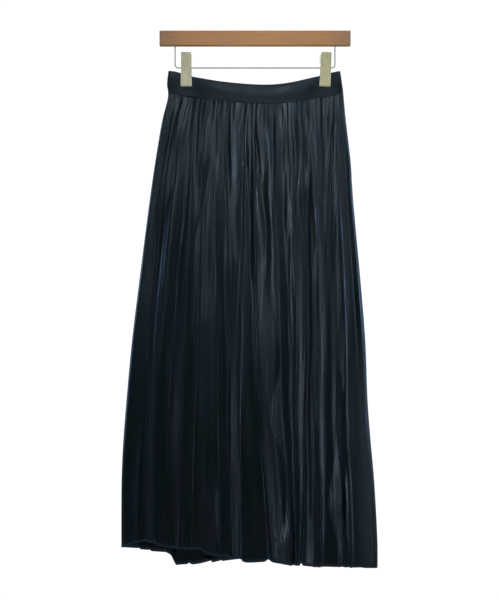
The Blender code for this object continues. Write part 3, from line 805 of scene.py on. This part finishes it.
def cloth_object(name, rows, closed, widths):
    """A single layer of cloth through the rows, with a UV map in metres of flat cloth."""
    mesh = bmesh.new()
    grid = [[mesh.verts.new(point) for point in row] for row in rows]
    flat = mesh.loops.layers.uv.new("flat_cloth")
    count = len(rows[0])
    spans = count if closed else count - 1
    for j in range(len(rows) - 1):
        for i in range(spans):
            k = (i + 1) % count
            face = mesh.faces.new((grid[j][i], grid[j][k], grid[j + 1][k], grid[j + 1][i]))
            face.smooth = True
            corners = ((i, j), (i + 1, j), (i + 1, j + 1), (i, j + 1))
            for loop, (a, b) in zip(face.loops, corners):
                loop[flat].uv = (widths[a], -rows[b][min(a, count - 1)].z)
    data = bpy.data.meshes.new(name)
    mesh.to_mesh(data)
    mesh.free()
    made = bpy.data.objects.new(name, data)
    bpy.context.scene.collection.objects.link(made)
    return made


def running_widths(row, closed):
    """How far along the row each point is, in metres."""
    widths = [0.0]
    ends = row[1:] + ([row[0]] if closed else [])
    for a, b in zip(row, ends):
        widths.append(widths[-1] + math.hypot(b.x - a.x, b.y - a.y))
    return widths


def soften_edges(made, width, segments, angle):
    """The edges sharper than the angle are rounded off."""
    rounding = made.modifiers.new("soft_edges", "BEVEL")
    rounding.width = width
    rounding.segments = segments
    rounding.limit_method = "ANGLE"
    rounding.angle_limit = angle
    apply_modifier(made, "soft_edges")


def apply_modifier(made, name):
    make_active(made)
    bpy.ops.object.modifier_apply(modifier=name)


def thicken(made, wall):
    """A single layer gets its wall, half to each side."""
    solid = made.modifiers.new("wall", "SOLIDIFY")
    solid.thickness = wall
    solid.offset = 0.0
    solid.use_even_offset = False
    apply_modifier(made, "wall")


def turn_outwards(made, facing):
    """The first layer's faces are made to point to the skirt's outside."""
    total = sum(face.normal.y * face.area for face in made.data.polygons)
    if total * facing < 0.0:
        made.data.flip_normals()


# ---------------------------------------------------------------- materials


class Socket:
    """A number in a material; Python's operators on it add Math nodes."""

    def __init__(self, finish, link):
        self.finish = finish
        self.link = link

    def maths(self, operation, first, second):
        return self.finish.node("ShaderNodeMath", {"operation": operation}, first, second)

    def __add__(self, other):
        return self.maths("ADD", self, other)

    def __radd__(self, other):
        return self.maths("ADD", other, self)

    def __rsub__(self, other):
        return self.maths("SUBTRACT", other, self)

    def __mul__(self, other):
        return self.maths("MULTIPLY", self, other)

    def __rmul__(self, other):
        return self.maths("MULTIPLY", other, self)


class Finish:
    """One material under construction."""

    def __init__(self, name):
        self.material = bpy.data.materials.new(name)
        self.material.use_nodes = True
        self.tree = self.material.node_tree
        self.shader = self.tree.nodes["Principled BSDF"]

    def feed(self, socket, value):
        if isinstance(value, Socket):
            self.tree.links.new(value.link, socket)
        elif hasattr(value, "__len__") and len(value) == 3 and len(socket.default_value) == 4:
            socket.default_value = (*value, 1.0)
        else:
            socket.default_value = value

    def node(self, kind, settings, *values, output=0, **named):
        """Adds a node: its settings first, then its inputs in order or by name."""
        made = self.tree.nodes.new(kind)
        for key, value in settings.items():
            setattr(made, key, value)
        for socket, value in zip(made.inputs, values):
            self.feed(socket, value)
        for key, value in named.items():
            self.feed(made.inputs[key], value)
        return Socket(self, made.outputs[output])

    def place(self):
        return self.node("ShaderNodeTexCoord", {}, output="Object")

    def flat(self):
        return self.node("ShaderNodeUVMap", {"uv_map": "flat_cloth"})

    def streaked(self, vector, scale, detail, roughness):
        """Noise with a scale of its own along each axis."""
        scaled = self.node("ShaderNodeMapping", {}, vector, Scale=scale)
        return self.noise(scaled, 1.0, detail, roughness)

    def noise(self, vector, scale, detail, roughness):
        return self.node(
            "ShaderNodeTexNoise",
            {},
            output="Fac",
            Vector=vector,
            Scale=scale,
            Detail=detail,
            Roughness=roughness,
        )

    def ranged(self, value, low, high):
        """0 at low and under, 1 at high and over."""
        return self.node("ShaderNodeMapRange", {"clamp": True}, value, low, high, 0.0, 1.0)

    def blended(self, factor, first, second, how="MIX"):
        """Two colours mixed by a factor."""
        made = self.tree.nodes.new("ShaderNodeMix")
        made.data_type = "RGBA"
        made.blend_type = how
        for socket, value in ((0, factor), (6, first), (7, second)):
            self.feed(made.inputs[socket], value)
        return Socket(self, made.outputs[2])

    def bumped(self, height, distance, strength=1.0, over=None):
        named = {"Height": height, "Distance": distance, "Strength": strength}
        if over is not None:
            named["Normal"] = over
        return self.node("ShaderNodeBump", {}, **named)

    def finished(self, **inputs):
        """Sets the shader's own sockets; a name's underscores stand for spaces."""
        for key, value in inputs.items():
            self.feed(self.shader.inputs[key.replace("_", " ")], value)
        return self.material


def pleated_velour(colours):
    """Short pile with a satin gloss, brushed by the folds and lighter along pressed creases."""
    finish = Finish("velour_in_pleats")
    flat = finish.flat()
    streaks = finish.streaked(flat, (900.0, 22.0, 1.0), 3.0, 0.6)
    brushed = finish.streaked(flat, (55.0, 7.0, 1.0), 3.0, 0.55)
    pile = finish.streaked(flat, (2600.0, 1500.0, 1.0), 1.0, 0.5)
    lying = finish.ranged(brushed, 0.34, 0.66)
    fine = finish.ranged(streaks, 0.30, 0.70)
    base = finish.blended(lying, colours.shade, colours.navy)
    base = finish.blended(fine * 0.38, base, colours.worn)
    nap = finish.bumped(pile, 0.00002, 0.30)
    pressed = finish.streaked(flat, (230.0, 9.0, 1.0), 2.0, 0.5)
    crinkled = finish.bumped(pressed, 0.0005, 1.0, nap)
    crushed = finish.bumped(streaks, 0.00003, 0.45, crinkled)
    return finish.finished(
        Base_Color=base,
        Roughness=0.30 + 0.10 * (1.0 - lying) + 0.04 * fine,
        Normal=crushed,
        Specular_IOR_Level=0.52,
        Specular_Tint=(*colours.gloss, 1.0),
        Sheen_Weight=0.04,
        Sheen_Roughness=0.30,
        Sheen_Tint=(*colours.sheen, 1.0),
    )


def band_velour(colours):
    """The same velour laid flat, with its pile standing."""
    finish = Finish("velour_laid_flat")
    flat = finish.flat()
    brushed = finish.streaked(flat, (40.0, 30.0, 1.0), 3.0, 0.6)
    pile = finish.streaked(flat, (2200.0, 1800.0, 1.0), 1.0, 0.5)
    lying = finish.ranged(brushed, 0.32, 0.68)
    base = finish.blended(lying, colours.shade, colours.navy)
    nap = finish.bumped(pile, 0.00003, 0.40)
    soft = finish.bumped(brushed, 0.0004, 0.30, nap)
    return finish.finished(
        Base_Color=base,
        Roughness=0.42 + 0.10 * (1.0 - lying),
        Normal=soft,
        Specular_IOR_Level=0.29,
        Specular_Tint=(*colours.gloss, 1.0),
        Sheen_Weight=0.22,
        Sheen_Roughness=0.35,
        Sheen_Tint=(*colours.sheen, 1.0),
    )


def bar_wood(colours, sizes):
    """Straight-grained varnished wood, with painted shade making it greyer towards both ends."""
    finish = Finish("varnished_wood")
    place = finish.place()
    grain = finish.streaked(place, (9.0, 260.0, 260.0), 4.0, 0.6)
    wide = finish.streaked(place, (14.0, 60.0, 60.0), 2.0, 0.5)
    along = finish.node("ShaderNodeSeparateXYZ", {}, place, output="X")
    end = finish.node("ShaderNodeMath", {"operation": "ABSOLUTE"}, along)
    # painted shade: the bar turns greyer and darker over its last few centimetres at each end
    half, shade_reach = sizes.bar_length / 2.0, 0.045
    ends_in_shade = finish.ranged(end, half - shade_reach, half)
    base = finish.blended(finish.ranged(grain, 0.30, 0.72), colours.wood_dark, colours.wood)
    base = finish.blended(finish.ranged(wide, 0.35, 0.75) * 0.35, base, colours.wood_dark)
    base = finish.blended(ends_in_shade * 0.75, base, colours.shaded_wood_ends)
    return finish.finished(
        Base_Color=base,
        Roughness=0.36 + 0.14 * grain,
        Normal=finish.bumped(grain, 0.00012, 0.35),
        Specular_IOR_Level=0.45,
    )


def clip_plastic(colours):
    """Moulded ivory plastic with faint cloudy streaks."""
    finish = Finish("ivory_plastic")
    place = finish.place()
    cloud = finish.streaked(place, (160.0, 160.0, 45.0), 3.0, 0.55)
    fine = finish.noise(place, 1800.0, 1.0, 0.5)
    darker = tuple(0.80 * c for c in colours.plastic)
    base = finish.blended(finish.ranged(cloud, 0.30, 0.70), darker, colours.plastic)
    # the right clip, past x = 0, is drawn darker and yellower than the left one
    across = finish.node("ShaderNodeSeparateXYZ", {}, place, output="X")
    yellower = finish.blended(1.0, base, colours.right_clip_tone, "MULTIPLY")
    base = finish.blended(finish.ranged(across, -0.05, 0.05), base, yellower)
    return finish.finished(
        Base_Color=base,
        Roughness=0.34 + 0.12 * cloud,
        Normal=finish.bumped(fine, 0.00005, 0.30),
        Specular_IOR_Level=0.5,
    )


def bright_steel(colours):
    """Drawn wire with fine lines along it."""
    finish = Finish("drawn_steel")
    place = finish.place()
    drawn = finish.streaked(place, (60.0, 2400.0, 2400.0), 2.0, 0.5)
    return finish.finished(
        Base_Color=finish.blended(
            finish.ranged(drawn, 0.3, 0.7), tuple(0.8 * c for c in colours.steel), colours.steel
        ),
        Metallic=1.0,
        Roughness=0.34 + 0.16 * drawn,
    )


def dress(made, material):
    """Gives a piece its material and its body."""
    made.data.materials.clear()
    made.data.materials.append(material)
    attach(made, "root")


def made_once(name, make):
    """A material that several pieces share."""
    return bpy.data.materials.get(name) or make()


# ---------------------------------------------------------------- operators for the cloth


class SKIRT_OT_pleated_panels(bpy.types.Operator):
    """Make the front and the back, pleated from the waistband to the hem"""

    bl_idname = "skirt.pleated_panels"
    bl_label = "Pleated panels"

    def execute(self, context):
        sizes, colours = context.scene.skirt_cloth, context.scene.skirt_colours
        count = sizes.rows
        for side in (FRONT, BACK):
            panel, node = Panel(side, sizes), side.node
            rows = [panel.row((j / count) ** ROW_POWER) for j in range(count + 1)]
            widths = running_widths(rows[count * 2 // 3], False)
            made = cloth_object(side.piece, rows, False, widths)
            turn_outwards(made, panel.facing)
            thicken(made, sizes.wall)
            dress(made, made_once("velour_in_pleats", lambda: pleated_velour(colours)))
            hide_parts(node)
            top, hem = (running_widths(rows[n], False)[-1] for n in (UNDER_BAND_ROW, -1))
        return {"FINISHED"}


BAND_COLUMNS = 320  # points round the band
BAND_ROWS = 22
BAND_SIDE_REACH = 0.03  # over which the band comes off its side folds, in metres
HELD_FLAT = 0.020  # half width that a clip holds flat
BAND_EDGE_RADIUS = 0.0006
LIP_REACH = 0.25  # share of the band's height over which its upper edge leans back
PUFF_SCALE = 6.75  # makes the swelling's peak, a third of the way down, 1
BAND_DENT = 0.0012  # height of the band's dents, in metres


class SKIRT_OT_waistband(bpy.types.Operator):
    """Make the waistband, one doubled strip sewn into a ring and flattened by the clips"""

    bl_idname = "skirt.waistband"
    bl_label = "Waistband"

    def ring_point(self, turn, down, sizes):
        facing = -1.0 if turn < 1.0 else 1.0
        across = -math.cos(math.pi * (turn if turn < 1.0 else 2.0 - turn))
        wall = sizes.band_wall

        def place_at(z):
            left, right = edges_at(z)
            return (left + right) / 2.0 + across * ((right - left) / 2.0 - wall / 2.0)

        def height_at(z):
            x = place_at(z)
            return band_top(x) + (band_bottom(x) - band_top(x)) * down

        z = settled(height_at, WAIST_Z)
        x = place_at(z)
        left, right = edges_at(z)
        from_end = min(x - left, right - x) - wall / 2.0
        radius = side_radius(z) - wall / 2.0
        if from_end < radius:
            y = math.sqrt(max(0.0, radius**2 - (radius - from_end) ** 2))
        else:
            side = side_radius(z)
            off_side = eased((from_end + wall / 2.0 - side) / BAND_SIDE_REACH)
            y = stand_off(x, z) * (1.0 - (wall / 2.0 / side) * (1.0 - off_side))
            clear = 1.0 - min(1.0, sum(math.exp(-(((x - clip.x) / HELD_FLAT) ** 4)) for clip in CLIPS))
            puff = sizes.band_puff * (PUFF_SCALE * down * (1.0 - down) ** 2 - 0.5 * down)
            puff -= sizes.band_lip * math.exp(-down / LIP_REACH)
            dent = BAND_DENT * noise.noise(Vector((x * 18.0, facing * 3.0, z * 30.0)))
            y += (puff + dent * (1.0 - down)) * clear
        return Vector((x, facing * y, z))

    def execute(self, context):
        sizes, colours = context.scene.skirt_cloth, context.scene.skirt_colours
        rows = [
            [self.ring_point(2.0 * i / BAND_COLUMNS, j / BAND_ROWS, sizes) for i in range(BAND_COLUMNS)]
            for j in range(BAND_ROWS + 1)
        ]
        made = cloth_object("waistband_velour", rows, True, running_widths(rows[0], True))
        make_active(made)
        bpy.ops.object.mode_set(mode="EDIT")
        bpy.ops.mesh.select_all(action="SELECT")
        bpy.ops.mesh.normals_make_consistent(inside=False)
        bpy.ops.object.mode_set(mode="OBJECT")
        thicken(made, sizes.band_wall)
        soften_edges(made, BAND_EDGE_RADIUS, 3, math.radians(60.0))
        dress(made, band_velour(colours))
        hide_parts("waistband")
        running_widths(rows[0], True)[-1]
        return {"FINISHED"}


# ---------------------------------------------------------------- operators for the hanger


def refinish(node, material):
    """A piece of the frame whose shape is right keeps it and gets a finer material."""
    piece = NODES[node]
    for slot in piece.material_slots:
        slot.material = material


class SKIRT_OT_hanger(bpy.types.Operator):
    """Finish the bar, its wire and the two clips"""

    bl_idname = "skirt.hanger"
    bl_label = "Hanger"

    def execute(self, context):
        sizes, colours = context.scene.hanger_sizes, context.scene.hanger_colours
        refinish("hanger_bar", bar_wood(colours, sizes))
        steel = bright_steel(colours)
        plastic = clip_plastic(colours)
        refinish("hanger_wire", steel)
        for clip in CLIPS:
            for part in ("front", "back"):
                refinish(f"clip_{clip.name}_{part}", plastic)
            for part in ("barrel", "spring"):
                refinish(f"clip_{clip.name}_{part}", steel)
        return {"FINISHED"}


# ---------------------------------------------------------------- the stage


Light = namedtuple("Light", "name place aim size_x size_y power tint spread", defaults=(180.0,))
LIGHTS = table(
    Light,
    ("key", (-1.15, -2.5, 0.30), (0.13, 0.0, -0.13), 0.40, 0.8, 0.26, (0.93, 0.97, 1.0), 23.5),
    ("right", (1.75, -2.3, 0.35), (0.06, 0.0, -0.20), 0.40, 0.8, 0.13, (0.96, 0.98, 1.0), 24.0),
    ("middle", (-1.35, -2.4, -0.1), (0.060, 0.0, -0.29), 0.10, 0.5, 0.025, (0.96, 0.98, 1.0), 5.0),
    ("low", (-2.35, -2.05, -1.0), (0.22, 0.0, -0.90), 0.26, 0.6, 0.064, (0.98, 0.95, 1.0), 8.0),
    ("rolls", (3.0, -1.5, -0.7), (-0.07, 0.0, -0.70), 0.20, 0.7, 0.12, (0.96, 0.98, 1.0), 15.0),
    ("edge", (1.05, -2.6, -0.75), (0.265, 0.0, -0.84), 0.06, 0.5, 0.022, (0.98, 0.95, 1.0), 4.0),
    ("hanger", (0.2, -2.4, 0.9), (0.0, 0.0, -0.02), 0.5, 0.3, 0.172, (1.0, 0.97, 0.93), 13.0),
    ("top", (0.3, -2.2, 1.5), (0.0, 0.0, -0.10), 1.2, 0.6, 18.5, (0.94, 1.0, 0.98)),
    ("side_right", (2.3, 0.2, -0.1), (0.1, 0.0, -0.4), 0.5, 1.2, 22.0, (0.50, 0.70, 1.0)),
    ("side_left", (-2.3, 0.2, -0.1), (-0.1, 0.0, -0.4), 0.5, 1.2, 24.0, (0.50, 0.70, 1.0)),
    ("back", (0.9, 2.2, 0.5), (0.0, 0.0, -0.4), 0.6, 1.4, 35.0, (0.95, 0.97, 1.0)),
)

FLOOR_RADIUS = 2.6
FLOOR_Z = -1.66
CAMERA_BACK = 3.0
CAMERA_X = -0.0093
CAMERA_Z = -0.4975
SENSOR = 36.0  # the camera's, in millimetres
SEEN_HEIGHT = 1.11  # metres of the skirt's plane from the picture's top to its foot


class SKIRT_OT_stage(bpy.types.Operator):
    """Make the pale floor, the soft lights and the camera"""

    bl_idname = "skirt.stage"
    bl_label = "Stage"

    def execute(self, context):
        scene = context.scene
        deselect_all()
        bpy.ops.mesh.primitive_circle_add(
            vertices=96, radius=FLOOR_RADIUS, fill_type="NGON", location=(0.0, 0.0, FLOOR_Z)
        )
        floor = context.object
        floor.name = "floor"
        finish = Finish("pale_floor")
        floor.data.materials.append(finish.finished(Base_Color=(0.80, 0.80, 0.79), Roughness=0.7))
        for light in LIGHTS:
            bpy.ops.object.light_add(type="AREA", location=light.place)
            lamp = context.object
            lamp.name = "light_" + light.name
            lamp.data.shape = "RECTANGLE"
            lamp.data.size, lamp.data.size_y = light.size_x, light.size_y
            lamp.data.energy = light.power
            lamp.data.color = light.tint
            lamp.data.spread = math.radians(light.spread)
            towards = Vector(light.aim) - Vector(light.place)
            lamp.rotation_euler = towards.to_track_quat("-Z", "Y").to_euler()
        world = bpy.data.worlds.new("studio")
        scene.world = world
        world.use_nodes = True
        tree = world.node_tree
        seen = tree.nodes["Background"]
        seen.inputs["Color"].default_value = (1.0, 1.0, 1.0, 1.0)
        seen.inputs["Strength"].default_value = 1.05
        soft = tree.nodes.new("ShaderNodeBackground")
        soft.inputs["Color"].default_value = (0.84, 0.98, 1.0, 1.0)
        soft.inputs["Strength"].default_value = 0.06
        path = tree.nodes.new("ShaderNodeLightPath")
        either = tree.nodes.new("ShaderNodeMixShader")
        tree.links.new(path.outputs["Is Camera Ray"], either.inputs[0])
        tree.links.new(soft.outputs[0], either.inputs[1])
        tree.links.new(seen.outputs[0], either.inputs[2])
        tree.links.new(either.outputs[0], tree.nodes["World Output"].inputs["Surface"])
        scene.view_settings.view_transform = "Standard"
        bpy.ops.object.camera_add(
            location=(CAMERA_X, -CAMERA_BACK, CAMERA_Z), rotation=(math.pi / 2.0, 0.0, 0.0)
        )
        camera = context.object
        camera.name = "camera"
        camera.data.sensor_width = SENSOR
        camera.data.lens = SENSOR * CAMERA_BACK / SEEN_HEIGHT
        scene.camera = camera
        return {"FINISHED"}


class SKIRT_PT_pieces(bpy.types.Panel):
    """The skirt's pieces"""

    bl_idname = "SKIRT_PT_pieces"
    bl_label = "Pleated skirt"
    bl_space_type = "VIEW_3D"
    bl_region_type = "UI"
    bl_category = "Skirt"

    def draw(self, context):
        for operator in OPERATORS:
            self.layout.operator(operator.bl_idname)


OPERATORS = (SKIRT_OT_pleated_panels, SKIRT_OT_waistband, SKIRT_OT_hanger, SKIRT_OT_stage)
GROUPS = {
    "skirt_cloth": ClothSizes,
    "skirt_colours": ClothColours,
    "hanger_sizes": HangerSizes,
    "hanger_colours": HangerColours,
}
CLASSES = (*GROUPS.values(), *OPERATORS, SKIRT_PT_pieces)


def register():
    for each in CLASSES:
        bpy.utils.register_class(each)
    for name, group in GROUPS.items():
        setattr(bpy.types.Scene, name, bpy.props.PointerProperty(type=group))


def unregister():
    for name in GROUPS:
        delattr(bpy.types.Scene, name)
    for each in reversed(CLASSES):
        bpy.utils.unregister_class(each)


def main():
    register()
    bpy.ops.skirt.pleated_panels()
    bpy.ops.skirt.waistband()
    bpy.ops.skirt.hanger()
    bpy.ops.skirt.stage()


if __name__ == "__main__":
    main()
